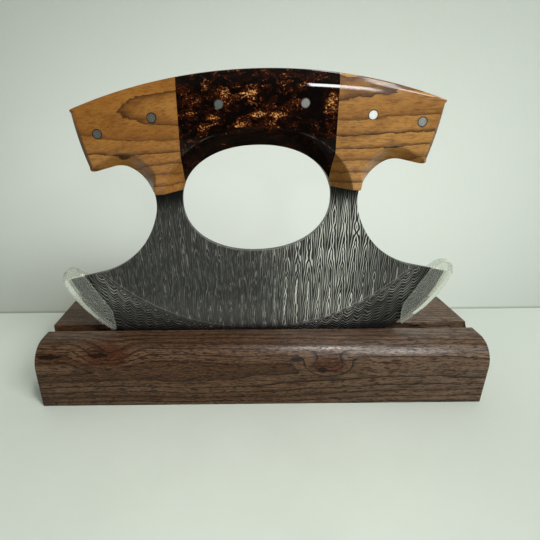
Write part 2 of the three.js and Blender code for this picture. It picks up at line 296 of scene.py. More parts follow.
def wall_material():
    """The painted wall. Part of its brightness is its own, painted light that the camera, and
    polished metal, see evenly lit behind the knife: dim on the left, fair on the right, with a
    painted glow behind the knife, a painted shadow low on the left and a darker line along its
    foot. It can't be seen from the back."""
    tree, shader, material = new_material("wall_paint")
    paint_nodes(tree, shader)
    place = object_position(tree)
    out, _, up = split(place)
    # Painted light and a painted shadow: dim on the left to fair on the right, a glow behind the
    # knife and a shadow low on the left.
    colour = layered(blend(ease(out, -0.2, 0.2), wall_dim, wall_fair),
                     [(near_spot(place, wall_glow_place, wall_glow_reach), wall_painted_glow),
                      (near_spot(place, wall_painted_shadow_place, wall_painted_shadow_reach), wall_painted_shadow)])
    # The painted light is darker along the foot of the wall.
    colour = blend(ease(up, seam_line, seam_line / 3), colour, seam_dark, "MULTIPLY")
    light = node(tree, "Emission", {"Color": colour})
    path = node(tree, "LightPath").outputs
    seen = calc("MAXIMUM", path["Is Camera Ray"],
                calc("MAXIMUM", path["Is Glossy Ray"], path["Is Transmission Ray"]))
    lit = node(tree, "MixShader", {0: seen * wall_painted_light_share, 1: shader.outputs[0],
                                   2: light.outputs[0]})
    mixed = node(tree, "MixShader", {0: node(tree, "NewGeometry").outputs["Backfacing"],
                                     1: lit.outputs[0],
                                     2: node(tree, "BsdfTransparent").outputs[0]})
    feed(tree.nodes["Material Output"], {"Surface": mixed.outputs[0]})
    return material


def sheet(name, near, far, material):
    """A flat sheet between two opposite corners, with its near and far sides along X."""
    corners = [near, (far[0], near[1], near[2]), far, (near[0], far[1], far[2])]
    return new_object(name, corners, [(0, 1, 2, 3)], material)


table = sheet("table", (-table_half, -table_half, 0), (table_half, table_half, 0),
              table_material())
wall = sheet("wall", (-table_half, wall_place, 0), (table_half, wall_place, wall_height),
             wall_material())

# Stand
# One block of black walnut, oiled. Both long top edges are rounded over on a router table, the
# slot is sawn through from end to end, and every other edge is only broken with sandpaper.
mm = 0.001
stand_low, stand_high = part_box("stand_block")
stand_length = (stand_high.x - stand_low.x) / mm
stand_depth = (stand_high.y - stand_low.y) / mm
stand_height = stand_high.z / mm
stand_round = 11.9
slot_width = 6.35
slot_setback = 19.6
slot_depth = 21.9
slot_edge_round = 0.5
end_edge_round = 0.6
round_steps = 24
mitre_limit = 0.3
weld_distance = 1e-7
edge_steps = 5
walnut_mid = (0.079, 0.039, 0.0185, 1)
walnut_light = (0.155, 0.089, 0.049, 1)
# A paler, greyer brown for the painted sheen on the right end:
walnut_painted_sheen = (0.19, 0.135, 0.095, 1)
walnut_red = (0.082, 0.031, 0.0135, 1)
walnut_stain = (0.070, 0.021, 0.0075, 1)
walnut_dark = (0.013, 0.006, 0.0032, 1)
walnut_pore = (0.006, 0.0035, 0.0025, 1)
walnut_pith = (-33, -38.6, 22)
walnut_turn = (0, math.radians(90), math.radians(-1.6))
walnut_knots = [((-78, -31, 28), (24, 40, 9)), ((33, -34, 23.5), (20, 40, 9))]
walnut_flecks = [((17.2, -34, 26.5), (6, 40, 2.2)), ((30.3, -34, 21), (4.5, 40, 3.2)),
                 ((-107, -34, 28.5), (12, 40, 1.8)), ((-82, -34, 29), (9, 40, 1.6))]


def unit(vectors):
    """A vector, or one in each row, made 1 long."""
    return vectors / np.linalg.norm(vectors, axis=-1, keepdims=True)


def left_of(vectors):
    """The vectors in each row, turned a quarter turn to the left."""
    return np.column_stack([-vectors[:, 1], vectors[:, 0]])


def rounded_outline(corners, radii, steps):
    """A closed outline with its corners rounded. Each corner's arc starts and ends where it
    touches the two sides, a distance radius / tan(half the corner's angle) away."""
    corners = np.asarray(corners, float)
    points = []
    for i, radius in enumerate(radii):
        corner = corners[i]
        before = unit(corners[i - 1] - corner)
        after = unit(corners[(i + 1) % len(corners)] - corner)
        half_angle = math.acos(np.clip(before @ after, -1, 1)) / 2
        centre = corner + unit(before + after) * radius / math.sin(half_angle)
        start = corner + before * radius / math.tan(half_angle) - centre
        finish = corner + after * radius / math.tan(half_angle) - centre
        count = steps if radius > 1 else edge_steps
        share = np.linspace(0, 1, count + 1)[:, None]
        sweep = math.pi - 2 * half_angle
        arc = (np.sin((1 - share) * sweep) * start + np.sin(share * sweep) * finish)
        points.append(centre + arc / math.sin(sweep))
    return np.concatenate(points)


def inset(loop, distance):
    """A closed loop that runs counter-clockwise, moved inwards along its mitred normals."""
    ahead = unit(np.roll(loop, -1, axis=0) - loop)
    normal = unit(left_of(ahead + np.roll(ahead, 1, axis=0)))
    reach = 1 / np.maximum((normal * left_of(ahead)).sum(axis=1), mitre_limit)
    return loop + normal * (distance * reach)[:, None]


def lofted(loops):
    """Points and faces of a closed body through loops of equal count, with flat ends. The loops
    run counter-clockwise as seen from the last one."""
    count = len(loops[0])
    points = np.concatenate(loops)
    ring = np.arange(count)
    faces = []
    for level in range(len(loops) - 1):
        low = level * count + ring
        low_next = level * count + (ring + 1) % count
        faces += np.stack([low, low_next, low_next + count, low + count], axis=1).tolist()
    faces.append(ring[::-1].tolist())
    faces.append((ring + (len(loops) - 1) * count).tolist())
    return points, faces


def finish_mesh(made, crease):
    """Doubled points merged, faces turned outwards, and shading smooth but for creases that are
    sharper than an angle in degrees."""
    body = bmesh.new()
    body.from_mesh(made.data)
    bmesh.ops.remove_doubles(body, verts=body.verts, dist=weld_distance)
    bmesh.ops.dissolve_degenerate(body, edges=body.edges, dist=weld_distance / 10)
    bmesh.ops.recalc_face_normals(body, faces=body.faces)
    if body.calc_volume(signed=True) < 0:
        bmesh.ops.reverse_faces(body, faces=body.faces)
    body.to_mesh(made.data)
    body.free()
    made.data.shade_smooth()
    made.data.set_sharp_from_angle(angle=math.radians(crease))


def new_solid(name, points, faces, material, crease):
    """A finished body from points in metres and faces as lists of indices."""
    made = new_object(name, points, faces, material)
    finish_mesh(made, crease)
    return made


def stand_body():
    """The end profile, drawn in depth and height, carried along the block. The last 0.6 mm at
    each end follows a quarter circle, which breaks the sawn edge."""
    half = stand_depth / 2
    front = slot_setback - half
    rear = front + slot_width
    floor = stand_height - slot_depth
    corners = [(-half, 0), (half, 0), (half, stand_height), (rear, stand_height), (rear, floor),
               (front, floor), (front, stand_height), (-half, stand_height)]
    radii = [slot_edge_round] * len(corners)
    radii[2] = radii[-1] = stand_round
    profile = rounded_outline(corners, radii, round_steps)
    bend = np.linspace(0, math.pi / 2, edge_steps + 1)
    loops = []
    for side in (-1, 1):
        for angle in bend[::-side]:
            loop = inset(profile, end_edge_round * (1 - math.sin(angle)))
            along = stand_length / 2 - end_edge_round * (1 - math.cos(angle))
            loops.append(np.column_stack([np.full(len(loop), side * along), loop]))
    points, faces = lofted(loops)
    return points * mm, faces


def stretched(vector, scale):
    """A vector stretched along each axis, which makes a texture on it so much finer."""
    return node(vector.id_data, "Mapping", {"Vector": vector, "Scale": scale}).outputs[0]


def chance_of(value):
    """A number by chance between 0 and 1 for each whole value."""
    return Value(node(tree_of(value), "TexWhiteNoise", {"W": value},
                      noise_dimensions="1D").outputs["Value"])


def build_grain_group():
    """Wood in three dimensions, in millimetres, with the pith along Z. Rings are the distance
    from the pith in steps, raised to a power that crowds the outer ones, pushed about by noise,
    and swollen round knots. Each ring ends in a thin dark line of its own strength. Fibres,
    pores and specks are noise stretched along the pith, and the cloud is the figure between."""
    group = bpy.data.node_groups.new("wood_grain", "ShaderNodeTree")
    face = group.interface
    face.new_socket("Vector", in_out="INPUT", socket_type="NodeSocketVector")
    for name, value in (("Ring Width", 2.0), ("Crowding", 1.0), ("Wander", 8.0), ("Ripple", 0.6),
                        ("Jag", 0.3), ("Swell", 0.0)):
        face.new_socket(name, in_out="INPUT", socket_type="NodeSocketFloat").default_value = value
    start = group.nodes.new("NodeGroupInput").outputs
    place = start["Vector"]

    def stretched_noise(stretch, *settings):
        """Noise drawn out along the pith."""
        return noise(stretched(place, (1, 1, stretch)), *settings)

    moved = place
    for stretch, scale, amount in ((0.3, 0.03, "Wander"), (0.25, 0.16, "Ripple"),
                                   (0.4, 0.75, "Jag")):
        push = node(group, "TexNoise", {"Vector": stretched(place, (1, 1, stretch)),
                                        "Scale": scale, "Detail": 2, "Roughness": 0.45})
        push = vector_math("SUBTRACT", {0: push.outputs["Color"], 1: (0.5, 0.5, 0.5)})
        push = vector_math("SCALE", {0: push, "Scale": start[amount]})
        moved = vector_math("ADD", {0: moved, 1: push})
    reach = length_of(vector_math("MULTIPLY", {0: moved, 1: (1, 1, 0)}))
    rings = (reach / start["Ring Width"]) ** start["Crowding"] + start["Swell"]
    part = calc("FRACT", rings)
    ends = ease(part, 1.0, 0.975)
    thin = part ** 8 * ease(chance_of(calc("FLOOR", rings)), 0, 1, 0.8, 1.5)
    of_ring = node(group, "CombineXYZ", {0: rings, 1: 7.0}).outputs[0]
    results = {"Line": thin * ends,
               "Late": part ** 3.5 * ends,
               "Tone": noise(of_ring, 0.9, 1),
               "Fibre": stretched_noise(0.03, 2.6, 4, 0.65),
               "Streak": stretched_noise(0.045, 1.15, 3, 0.6),
               "Pore": ease(stretched_noise(0.13, 1.9, 1, 0.4), 0.55, 0.64),
               "Cloud": stretched_noise(0.45, 0.26, 4, 0.62),
               "Speck": stretched_noise(0.2, 2.4, 2, 0.7)}
    for name in results:
        face.new_socket(name, in_out="OUTPUT", socket_type="NodeSocketFloat")
    feed(group.nodes.new("NodeGroupOutput"), results)
    return group


grain_group = build_grain_group()


def grain_nodes(vector, **values):
    """The wood grain group placed in a material with its own values. Returns its results."""
    made = node(vector.id_data, "Group", node_tree=grain_group)
    feed(made, {"Vector": vector})
    feed(made, {name.replace("_", " ").title(): value for name, value in values.items()})
    return {result.name: Value(result) for result in made.outputs}


def spots(vector, places):
    """The greatest of several soft masks, each with a middle and a reach."""
    share = 0.0
    for middle, reach in places:
        share = calc("MAXIMUM", share, near_spot(vector, middle, reach))
    return share


def walnut_material():
    """Dark brown wood cut tangentially, so that its rings make one long pointed arch along the
    front. Short dark pores run with it, and it is knotted in two places. It is painted paler
    towards the right end, a painted sheen."""
    tree, shader, material = new_material("oiled_walnut")
    place = own_axes(object_position(tree), (0, 0, 0), size=(mm, mm, mm))
    knot = spots(place, walnut_knots)
    grain = grain_nodes(own_axes(place, walnut_pith, walnut_turn), ring_width=4.2,
                        crowding=1.15, wander=9, ripple=2.2, jag=0.4, swell=knot * 2.6)
    speck = grain["Speck"]
    along = split(place)[0]
    fleck = spots(place, walnut_flecks) + (speck - 0.5)
    colour = layered(blend(ease(grain["Tone"], 0.35, 0.65), walnut_mid, walnut_light),
                     # Painted sheen: paler towards the right end.
                     [(ease(along, -20, 110, 0, 0.55), walnut_painted_sheen),
                      (ease(grain["Cloud"], 0.42, 0.7, 0, 0.6), walnut_red),
                      (grain["Late"] * 0.6, walnut_dark),
                      (ease(knot, 0.25, 0.8) * 0.8, walnut_stain),
                      (grain["Line"], walnut_pore),
                      (ease(grain["Streak"], 0.52, 0.66, 0, 0.65), walnut_dark),
                      (ease(speck, 0.48, 0.68, 0, 0.6), walnut_dark),
                      (ease(speck, 0.48, 0.3, 0, 0.5), walnut_light),
                      (grain["Pore"] * 0.75, walnut_pore),
                      (ease(fleck, 0.25, 0.6, 0, 0.85), walnut_pore)])
    upward = split(node(tree, "NewGeometry").outputs["Normal"])[2]
    rubbed = ease(upward, 0.45, 0.7) * ease(abs(along - 38), 75, 20, 0.1, 1)
    feed(shader, {"Base Color": colour, "Roughness": 0.42, "Specular IOR Level": 0.15,
                  "Coat Weight": rubbed * ease(speck, 0.62, 0.4, 0.15, 1),
                  "Coat Roughness": 0.27,
                  "Normal": bump(speck * -0.6 - grain["Pore"], 0.45, 0.0002)})
    return material


stand = new_solid("walnut_stand", *stand_body(), walnut_material(), crease=35)
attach(stand, "stand")
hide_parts("stand_block")

# Blade
# One plate of pattern-welded steel, profiled with its finger hole and full tang, then ground from
# a curved line down to the cutting edge and etched, which turns half of the layers dark.
knife_place = (-1.03, -11.225, 11.9)
knife_roll = math.radians(0.85)
blade_half = 1.5
tip_out = 96.7
edge_half_width = 98.1
tip_height = 52.2
grind_radius = 109.8
grind_height = 132.2
edge_land = 0.2
hone_half = 0.04
hone_rate = 0.45
notch_centre = np.array([68.3, 90.7])
notch_radius = 20.35
throat_radius = 41.2
notch_lean = math.radians(14.2)
notch_blend = math.radians(125.9)
hole_height = 90.9
hole_half_length = 35.4
hole_half_height = 25.3
hole_power = 2.15
apex_height = 146.2
top_radius = 234
corner_out = 78.6
corner_round = 1.6
heel = np.array([73.5, 106.6])
heel_round = 2.5
end_bow = 0.8
under_angle = math.radians(13.5)
top_bevel = 4.3
end_bevel = 1.2
arris = 0.12
arris_fade = 1.5
steel_dark = (0.024, 0.023, 0.0218, 1)
steel_light = (0.78, 0.77, 0.72, 1)
# Painted shade on the blade just under the scales:
steel_painted_shade = (0.005, 0.005, 0.005, 1)

corner_height = apex_height - top_radius + math.sqrt(top_radius ** 2 - corner_out ** 2)
tip_share = math.sqrt(1 - (tip_out / edge_half_width) ** 2)
edge_half_height = tip_height / (1 - tip_share)
tip_angle = -math.asin(tip_share)
throat_centre = notch_centre + (throat_radius - notch_radius) * np.array(
    [math.cos(notch_lean), math.sin(notch_lean)])
tip = np.array([tip_out, tip_height])
tip_from_throat = tip - throat_centre
shoulder_angle = (math.atan2(tip_from_throat[1], tip_from_throat[0]) + 2 * math.pi
                  - math.acos(throat_radius / np.linalg.norm(tip_from_throat)))


def in_knife(out, up, forward):
    """Points of the knife, given out to the right of its middle, up from the edge's lowest
    point and forward from its mid plane in millimetres, as it stands in the slot, in metres."""
    x = knife_place[0] + out * math.cos(knife_roll) - up * math.sin(knife_roll)
    z = knife_place[2] + out * math.sin(knife_roll) + up * math.cos(knife_roll)
    return np.stack(np.broadcast_arrays(x, knife_place[1] - forward, z), axis=-1) * mm


def brought_forward(line, forward):
    """The points of a flat line, all so far forward, or each by a distance of its own."""
    return np.column_stack([line, np.broadcast_to(forward, len(line))])


def arc(centre, radius, start, finish, count):
    """Points along a circular arc from one angle to another."""
    angle = np.linspace(start, finish, count)
    return np.column_stack([centre[0] + radius * np.cos(angle), centre[1] + radius * np.sin(angle)])


def bend_curve(start, control, finish, share):
    """A quadratic curve: (1-t)^2 start + 2t(1-t) control + t^2 finish."""
    t = np.asarray(share)[:, None]
    return (1 - t) ** 2 * start + 2 * t * (1 - t) * control + t ** 2 * finish


def arch_height(out, facet):
    """The height of the grip's arch, a circle through both corners. At facet 0 it is the top of
    the grip, and at facet 1 the lower edge of the bevel on the face."""
    rise = apex_height - top_bevel * facet - corner_height
    radius = (corner_out ** 2 + rise ** 2) / (2 * rise)
    return corner_height + rise - radius + np.sqrt(radius ** 2 - np.asarray(out) ** 2)


def arch_line(start, finish, count):
    """Points along the top of the grip from one place to another."""
    out = np.linspace(start, finish, count)
    return np.column_stack([out, arch_height(out, 0)])


def grip_end(facet, steps):
    """The right end of the grip from the arch down to the horn's underside: a slightly bowed
    side between a small rounded corner and the rounded heel."""
    inset_by = end_bevel * facet
    start = np.array([corner_out - inset_by, arch_height(corner_out - inset_by, facet)])
    finish = np.array([heel[0] - inset_by, heel[1]])
    control = (start + finish) / 2 + (2 * end_bow, 0)
    length = np.linalg.norm(finish - start)
    first, last = corner_round / length, 1 - heel_round / length
    side = bend_curve(start, control, finish, np.linspace(first, last, steps))
    before = np.array([start[0] - corner_round, arch_height(start[0] - corner_round, facet)])
    under = finish + heel_round * np.array([-math.cos(under_angle), math.sin(under_angle)])
    share = np.linspace(0, 1, 9)
    return np.concatenate([bend_curve(before, start, side[0], share)[:-1], side,
                           bend_curve(side[-1], finish, under, share)[1:]])


def notch_upper(steps):
    """The horn's underside and the notch as far as the throat: a straight underside, a blend
    and the small arc."""
    outward = np.array([math.cos(under_angle), -math.sin(under_angle)])
    upper = arc(notch_centre, notch_radius, notch_blend, math.pi + notch_lean, steps)
    tangent = np.array([math.sin(notch_blend), -math.cos(notch_blend)])
    gap = heel - upper[0]
    reach = (gap[0] * outward[1] - gap[1] * outward[0]) / (
        tangent[0] * outward[1] - tangent[1] * outward[0])
    control = upper[0] + tangent * reach
    start = control + outward * reach
    return np.concatenate([bend_curve(start, control, upper[0], np.linspace(0, 1, 17))[:-1],
                           upper])


def throat(steps):
    """The larger arc from the notch down to the straight shoulder."""
    return arc(throat_centre, throat_radius, math.pi + notch_lean, shoulder_angle, steps)


def hole_outline(angle, grow=0.0):
    """The finger hole, a superellipse: |x/a|^n + |y/b|^n = 1, both half sizes grown alike."""
    power = 2 / hole_power
    x = np.sign(np.cos(angle)) * np.abs(np.cos(angle)) ** power
    y = np.sign(np.sin(angle)) * np.abs(np.sin(angle)) ** power
    return np.column_stack([(hole_half_length + grow) * x,
                            hole_height + (hole_half_height + grow) * y])


def edge_reach(sweep):
    """How far the cutting edge, half an ellipse, lies from the grind line's centre along rays
    that are swept from straight down."""
    ray_x, ray_y = np.sin(sweep), -np.cos(sweep)
    rise = grind_height - edge_half_height
    a = (ray_x / edge_half_width) ** 2 + (ray_y / edge_half_height) ** 2
    b = 2 * rise * ray_y / edge_half_height ** 2
    c = (rise / edge_half_height) ** 2 - 1
    return (-b + np.sqrt(b ** 2 - 4 * a * c)) / (2 * a)


def polar(line):
    """Sweep and reach of points, seen from the grind line's centre."""
    x, y = line[:, 0], grind_height - line[:, 1]
    return np.arctan2(x, y), np.hypot(x, y)


def blade_body():
    """Both flats as two halves with many corners, the ground bevels as a grid of sweep and
    reach, and walls with broken edges between front and rear. On the bevel the half thickness
    falls in a straight line from the grind line to the edge, then faster over the hone."""
    lower = np.concatenate([throat(90), tip[None]])
    sweep, reach = polar(lower)
    first = int(np.argmax(reach > grind_radius))
    share = (grind_radius - reach[first - 1]) / (reach[first] - reach[first - 1])
    crossing = lower[first - 1] * (1 - share) + lower[first] * share
    shoulder = np.concatenate([crossing[None], lower[first:]])
    upper = notch_upper(48)
    end = grip_end(0, 24)
    arch = arch_line(end[0, 0], 0, 60)
    chain = np.concatenate([crossing[None], lower[:first][::-1][:-1], upper[::-1],
                            end[::-1], arch[1:]])
    hole = hole_outline(np.linspace(math.pi / 2, -math.pi / 2, 97))
    grind_sweep = np.linspace(0, polar(crossing[None])[0][0], 100)
    grind = np.column_stack([grind_radius * np.sin(grind_sweep),
                             grind_height - grind_radius * np.cos(grind_sweep)])
    taper = np.clip(np.linalg.norm(chain - crossing, axis=1) / arris_fade, 0, 1)
    ahead = np.gradient(chain, axis=0)
    ahead[-1] = (-1, 0)
    chain_face = chain + unit(left_of(ahead)) * (arris * taper)[:, None]
    hole_face = hole + unit(hole - (0, hole_height)) * arris
    points, faces = [], []

    def add(line, forward):
        """Takes in the points of a line and gives back their indices."""
        start = sum(len(p) for p in points)
        points.append(brought_forward(line, forward))
        return list(range(start, start + len(line)))

    def strip(low, high):
        """Fills the band between two lines with faces."""
        faces.extend([a, b, d, c] for a, b, c, d in zip(low, low[1:], high, high[1:]))

    shoulder_sweep, shoulder_reach = polar(shoulder)
    sweeps = np.concatenate([grind_sweep, shoulder_sweep[1:]])
    top_reach = np.concatenate([np.full(len(grind_sweep), grind_radius), shoulder_reach[1:]])
    bottom_reach = np.maximum(edge_reach(sweeps), top_reach)
    depth_shares = np.concatenate([np.linspace(0, 0.94, 16), [0.965, 0.98, 0.99, 1]])
    for mirror in (1, -1):
        flip = (mirror, 1)
        for side in (1, -1):
            flat = np.concatenate([grind[:-1], chain_face, hole_face])
            faces.append(add(flat * flip, side * blade_half))
            rows = []
            for depth_share in depth_shares:
                reach = top_reach + (bottom_reach - top_reach) * depth_share
                ground = (reach - grind_radius) / (edge_reach(sweeps) - grind_radius)
                half = np.minimum(blade_half - (blade_half - edge_land) * ground,
                                  hone_half + hone_rate * np.maximum(
                                      edge_reach(sweeps) - reach, 0))
                line = np.column_stack([reach * np.sin(sweeps),
                                        grind_height - reach * np.cos(sweeps)])
                rows.append(add(line * flip, side * half))
            for upper_row, lower_row in zip(rows, rows[1:]):
                strip(upper_row, lower_row)
            if side > 0:
                front_edge, front_top = rows[-1], rows[0][len(grind_sweep) - 1:]
            else:
                strip(front_edge, rows[-1])
                strip(front_top, rows[0][len(grind_sweep) - 1:])
        for line, line_face, drop in ((chain, chain_face, arris * taper), (hole, hole_face, arris)):
            levels = [add(line_face * flip, blade_half), add(line * flip, blade_half - drop),
                      add(line * flip, drop - blade_half), add(line_face * flip, -blade_half)]
            for first_level, second_level in zip(levels, levels[1:]):
                strip(first_level, second_level)
    return in_knife(*np.concatenate(points).T), faces


def knife_position(tree):
    """The surface's position in the knife's own axes, in millimetres: out, back and up."""
    return own_axes(object_position(tree), tuple(mm * value for value in knife_place),
                    (0, -knife_roll, 0), (mm, mm, mm))


def layered_steel_material():
    """The forged layers as level lines: depth under the flat plus a field of upright waves and
    stretched noise, counted in layers. A flat cuts them as upright lines and eyes, and the
    bevel, which goes deeper all the way down, cuts them as a map's contours. Each layer takes
    the etch a little differently. The bright layers carry a painted reflection, growing towards
    the right on the flat and fading near the tips. The steel also carries painted shade just
    above the slot, low on the bevel towards the sides and under the scales, painted light low on
    the flat and just under the grind line, and a painted glint along the grind line."""
    layer = 0.08
    wave_pitch = 5.7
    wave_middle = 43.2
    left_rise, right_rise = 7.5, 5.6
    rise_upwards = 0.07
    bevel_swing = 1.6
    cloud_depth = 0.2
    tree, shader, material = new_material("layered_steel")
    place = knife_position(tree)
    out, back, up = split(place)
    depth = blade_half - abs(back)
    ground = ease(depth, 0.002, 0.16)
    flat = 1 - ground
    right = ease(out, -22, 55)

    def cloud(across, along, detail, on_flat, on_bevel):
        """Stretched noise, as strong on the flat and on the bevel as is said."""
        spread = noise(stretched(place, (across, cloud_depth, along)), 1, detail) - 0.5
        return spread * ease(ground, 0, 1, on_flat, on_bevel)

    moved = out - wave_middle + cloud(0.05, 0.03, 2, 2.2, 4.5)
    ridge = calc("PINGPONG", moved, wave_pitch / 2)
    cup = calc("SQRT", calc("COSINE", moved * (math.pi / wave_pitch)) ** 2 + 0.03)
    slope = ease(right, 0, 1, left_rise / wave_pitch, right_rise / wave_pitch)
    flat_wave = ridge * slope + up * rise_upwards
    ground_wave = cup * ease(depth, 0.1, 1.1, 1.0, 0.45) * -bevel_swing
    wave = flat_wave * flat + ground_wave * ground
    eyes = cloud(0.05, 0.09, 2, 5.0, 3.2) * calc("MAXIMUM", ground, ease(cup, 0.5, 1, 0.08, 1))
    busy = cloud(0.4, 0.05, 1, 0.5, 1.3) + cloud(0.8, 0.03, 1, 3.0, 0.8) * (1 - right)
    height = wave + eyes + (busy + depth / layer)
    bright = (ease(calc("COSINE", height * (2 * math.pi)), 0.0, 0.9)
              * ease(chance_of(calc("ROUND", height)), 0, 1, 0.4, 1))
    dashed = ease(noise(stretched(place, (0.75, cloud_depth, 0.3)), 1, 2, 0.6), 0.38, 0.6,
                  ease(right, 0, 0.8, 0.3, 0.8), ease(right, 0, 0.8, 1.3, 1.1))
    column = ease(cup, 0.4, 1, 0.55, ease(up, 55, 30, 1.15, 1.5))
    bright = bright * calc("MAXIMUM", dashed * column, ground)
    side = abs(out)
    # Painted shade: the bevel is darker low down towards both sides.
    low = calc("MAXIMUM", ease(up, 34, 43, 0.4, 1), ease(side, 48, 20))
    # Painted reflection on the bright layers: brighter towards the right on the flat, never below
    # about half on the bevel, less again near the right tip and at both tips.
    painted_reflection = (calc("MAXIMUM", ease(right, 0.1, 1, 0.19, 1.3), ground * 0.46)
              * ease(out, 42, 66, 1, 0.3) * calc("MAXIMUM", low, flat)
              * ease(side, 78, 86, 1, 0.45))
    # Painted light and shade on the bevel: a little brighter just under the grind line, darker
    # towards the edge.
    shelf = ground * ease(depth, 0.5, 0.05, -0.02, 0.01)
    # A painted glint along the grind line.
    glint = ease(depth, 0.001, 0.006) * ease(depth, 0.03, 0.012)
    # The dark layers' share, less towards the right, with painted light low on the flat.
    dull = (ease(right, 0.3, 1, 0.036, 0.015) + (shelf + glint * 0.2)
            + ease(up, 45, 27, 0, 0.06) * flat)
    # Painted shade and painted reflection of the dark slot, just above the slot.
    share = dull * ease(up, 21, 25) + bright * painted_reflection * ease(up, 21, 25, 0.25, 1)
    # Painted shade under the scales, at the top of the blade.
    share = share * ease(up, 96, 83, 0.2, 1)
    colour = blend(share, steel_dark, steel_light)
    # The steel under the scales is painted nearly black: painted shade.
    feed(shader, {"Base Color": blend(ease(up, 86, 95, 0, 0.8), colour, steel_painted_shade),
                  "Metallic": 0.8, "Specular IOR Level": 0.2,
                  "Roughness": ease(share, 0, 1, 0.5, 0.32),
                  "Normal": bump(bright, 0.3, 0.00006)})
    return material


pin_radius = 2
pin_clearance = 0.1
pin_steps = 48
grip_half = 12
pin_out_shares = [-0.864, -0.564, -0.205, 0.251, 0.612, 0.878]
pin_drop_shares = [0.447, 0.447, 0.42, 0.423, 0.457, 0.383]
pin_names = ["left_outer", "left_inner", "centre_left", "centre_right", "right_inner",
             "right_outer"]
pin_outs = corner_out * np.array(pin_out_shares)
pin_ups = arch_height(pin_outs, 0) - (apex_height - hole_height - hole_half_height) * np.array(
    pin_drop_shares)


def pin_bar(which, radius, half_length, edge=0):
    """A round bar at one pin's place, square to the blade. Its end edges are broken if the
    edge has a size."""
    angle = np.linspace(0, 2 * math.pi, pin_steps, endpoint=False)
    stations = [(-half_length, radius - edge), (edge - half_length, radius),
                (half_length - edge, radius), (half_length, radius - edge)]
    circle = np.column_stack([np.cos(angle), np.sin(angle)])
    loops = [brought_forward(size * circle + (pin_outs[which], pin_ups[which]), forward)
             for forward, size in (stations if edge else stations[::3])]
    points, faces = lofted(loops)
    return in_knife(*points.T), faces


def cut_away(made, tools, crease):
    """One body less several others, by a boolean that is applied at once."""
    for tool in tools:
        change = made.modifiers.new("cut", "BOOLEAN")
        change.operation = "DIFFERENCE"
        change.solver = "MANIFOLD"
        change.object = tool
    graph = bpy.context.evaluated_depsgraph_get()
    cut = bpy.data.meshes.new_from_object(made.evaluated_get(graph))
    made.modifiers.clear()
    spent = [made.data] + [tool.data for tool in tools]
    made.data = cut
    for tool in tools:
        bpy.data.objects.remove(tool)
    for mesh in spent:
        bpy.data.meshes.remove(mesh)
    finish_mesh(made, crease)


def drill(made, chosen, crease):
    """The holes that the pins need, bored square through a piece of the knife."""
    bars = [new_solid("drill", *pin_bar(which, pin_radius + pin_clearance, grip_half + 1),
                      made.data.materials[0], crease=40) for which in chosen]
    cut_away(made, bars, crease)


blade = new_solid("layered_blade", *blade_body(), layered_steel_material(), crease=2)
drill(blade, range(len(pin_names)), crease=2)
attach(blade, "knife")
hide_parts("blade")

# Scales
# Honey coloured wood at both ends and cast resin in the middle, glued edge to edge and to the
# steel, on the front and on the rear. They are shaped together: a bevel under the arch, a wide
# chamfer round the finger hole, rounded notches, and everything else sanded soft.
scale_base = 1.52
seam_out = 33.4
seam_gap = 0.03
foot_inner = 96.9
foot_slope = 0.075
foot_thin = 0.3
hole_land = 2.25
hole_chamfer = 7.4
notch_chamfer_low = 2.8
notch_chamfer_high = 7
notch_chamfer_depth = 9.6
notch_chamfer_climb = 10
horn_chamfer = 2.6
horn_start = 52
bevel_depth = 1.3
end_depth = 2.4
end_rise = 13
crown = 0.25
crown_width = 3.8
edge_round = 0.45
crease_round = 0.25
least_bevel = 0.3
chamfer_round = 0.08
grid_step = 0.34
least_step = 0.015
near_edge = np.array([0, 0.02, 0.06, 0.12, 0.2, 0.3, 0.42, 0.56, 0.75, 1.0])


def measured(line):
    """The distance along a line up to each of its points."""
    return np.concatenate([[0], np.cumsum(np.linalg.norm(np.diff(line, axis=0), axis=1))])


def along(line, shares):
    """Points of a line at shares of its length."""
    run = measured(line)
    place = np.asarray(shares) * run[-1]
    return np.column_stack([np.interp(place, run, line[:, 0]), np.interp(place, run, line[:, 1])])


def close_shares(length, marks=()):
    """Shares of a length, close together near its ends and near each mark between."""
    places = [near_edge, length - near_edge, np.arange(1, length - 1, grid_step)]
    for mark in marks:
        places += [mark + near_edge, mark - near_edge]
    merged = np.unique(np.round(np.concatenate(places), 4))
    kept = [0.0]
    for place in merged:
        if place - kept[-1] > least_step and place <= length:
            kept.append(place)
    kept[-1] = length
    return np.array(kept) / length


def distance_to(points, line):
    """The least distance from each point to a line of straight stretches."""
    best = np.full(len(points), np.inf)
    for a, b in zip(line, line[1:]):
        step = b - a
        t = np.clip((points - a) @ step / max(step @ step, 1e-12), 0, 1)
        best = np.minimum(best, np.linalg.norm(points - a - t[:, None] * step, axis=1))
    return best


def soft_least(a, b, width):
    """The smaller of two values, with the crease between them rounded over a width."""
    near = np.maximum(width - np.abs(a - b), 0) / width
    return np.minimum(a, b) - near ** 2 * width / 4


def hole_growth(points):
    """How much the finger hole has to grow to pass through each point, by Newton's method."""
    x = np.abs(points[:, 0])
    y = np.abs(points[:, 1] - hole_height)
    grow = np.maximum(np.hypot(x, y) - (hole_half_length + hole_half_height) / 2, 0)
    for _ in range(12):
        a, b = hole_half_length + grow, hole_half_height + grow
        value = (x / a) ** hole_power + (y / b) ** hole_power - 1
        slope = -hole_power * ((x / a) ** hole_power / a + (y / b) ** hole_power / b)
        grow = np.maximum(grow - value / slope, 0)
    return grow


def smooth(share):
    """A share between 0 and 1, eased at both ends: 3t^2 - 2t^3."""
    share = np.clip(share, 0, 1)
    return 3 * share ** 2 - 2 * share ** 3


def rounded_off(away):
    """How far a quarter round takes the face down at a distance from the outline."""
    near = np.clip(edge_round - away, 0, edge_round)
    return edge_round - np.sqrt(edge_round ** 2 - near ** 2)


